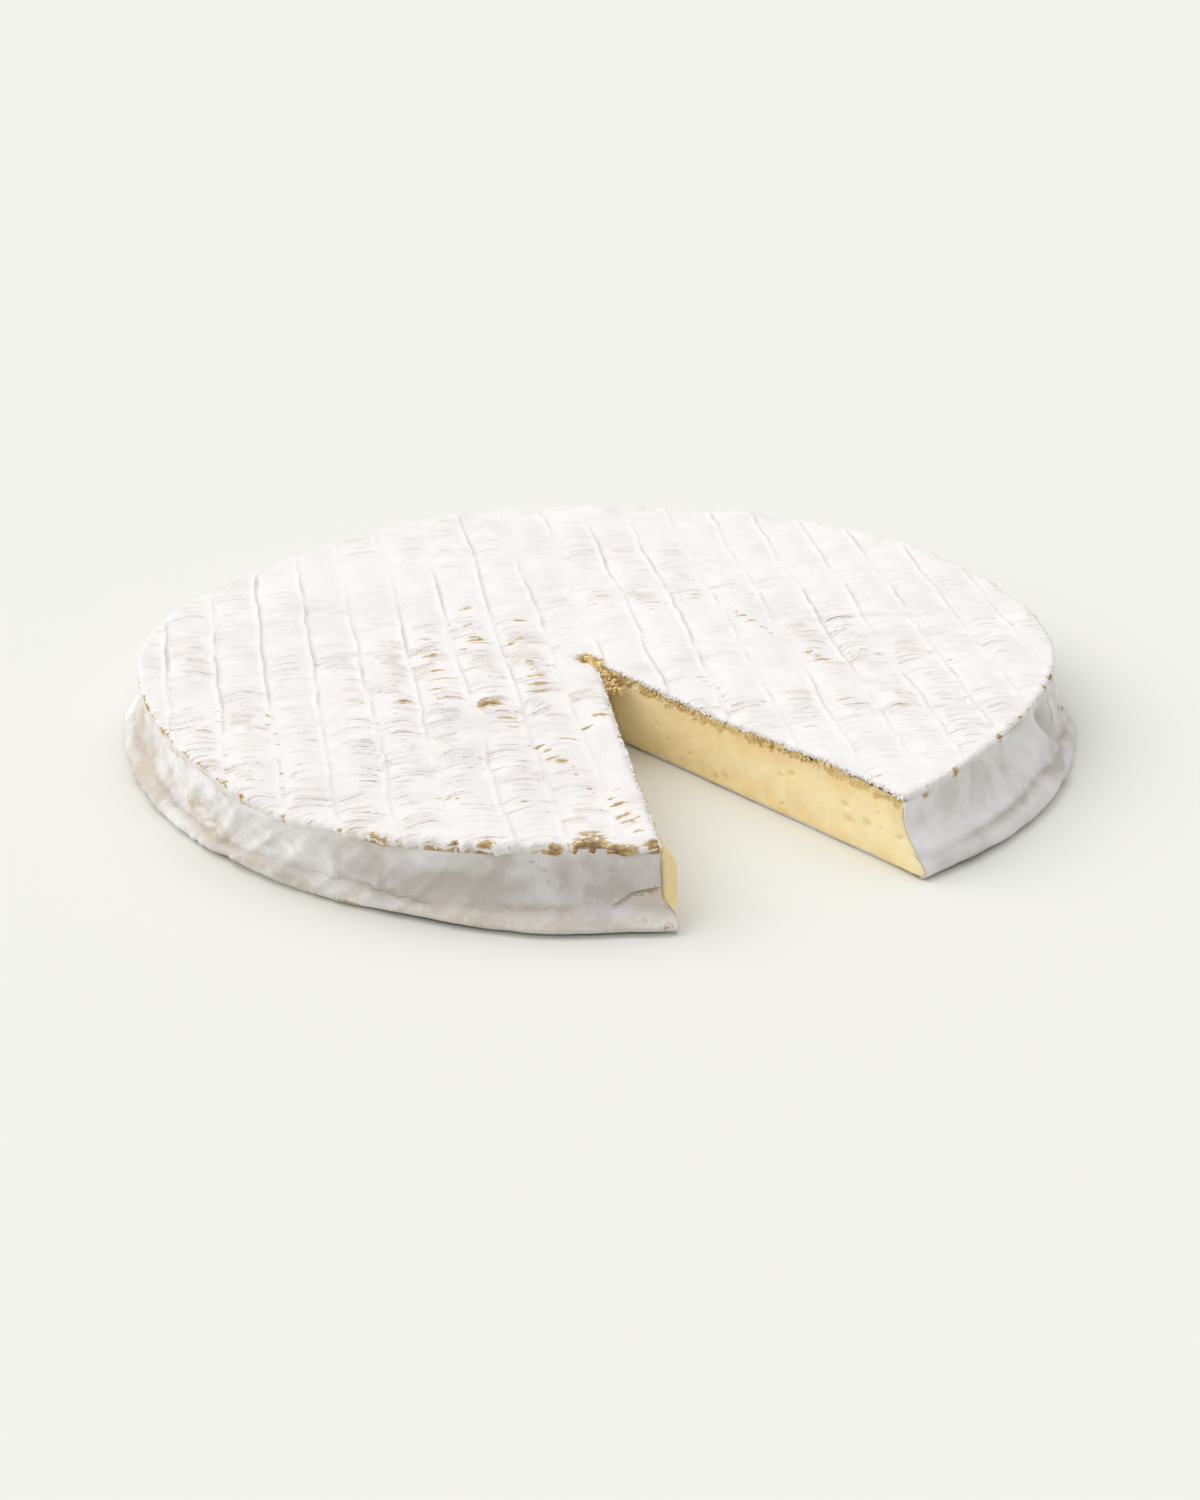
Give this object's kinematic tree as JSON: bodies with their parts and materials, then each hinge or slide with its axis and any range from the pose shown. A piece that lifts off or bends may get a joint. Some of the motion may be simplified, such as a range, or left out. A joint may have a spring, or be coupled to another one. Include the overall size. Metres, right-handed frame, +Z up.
{
  "type": "cheese wheel",
  "caption": "Large flat wheel of soft white-rind cheese with a wedge-shaped piece cut out, for serving or display.",
  "frame": {"origin": "centre of the flat underside, at the middle of the wheel's box", "axes": "+Z up from the underside to the top face; -Y points out through the middle of the missing wedge; +X to the right when looking into the cut"},
  "size_m": [0.371, 0.3648, 0.0311],
  "materials": {
    "rind": "matt, felt-like white mould rind with fine ripples, stitch ribs and tan patches",
    "paste": "soft, slightly moist golden paste on the two cut faces, with a ragged brown line under the rind"
  },
  "bodies": {
    "root": {"cheese_wheel": "rind"}
  },
  "joints": []
}
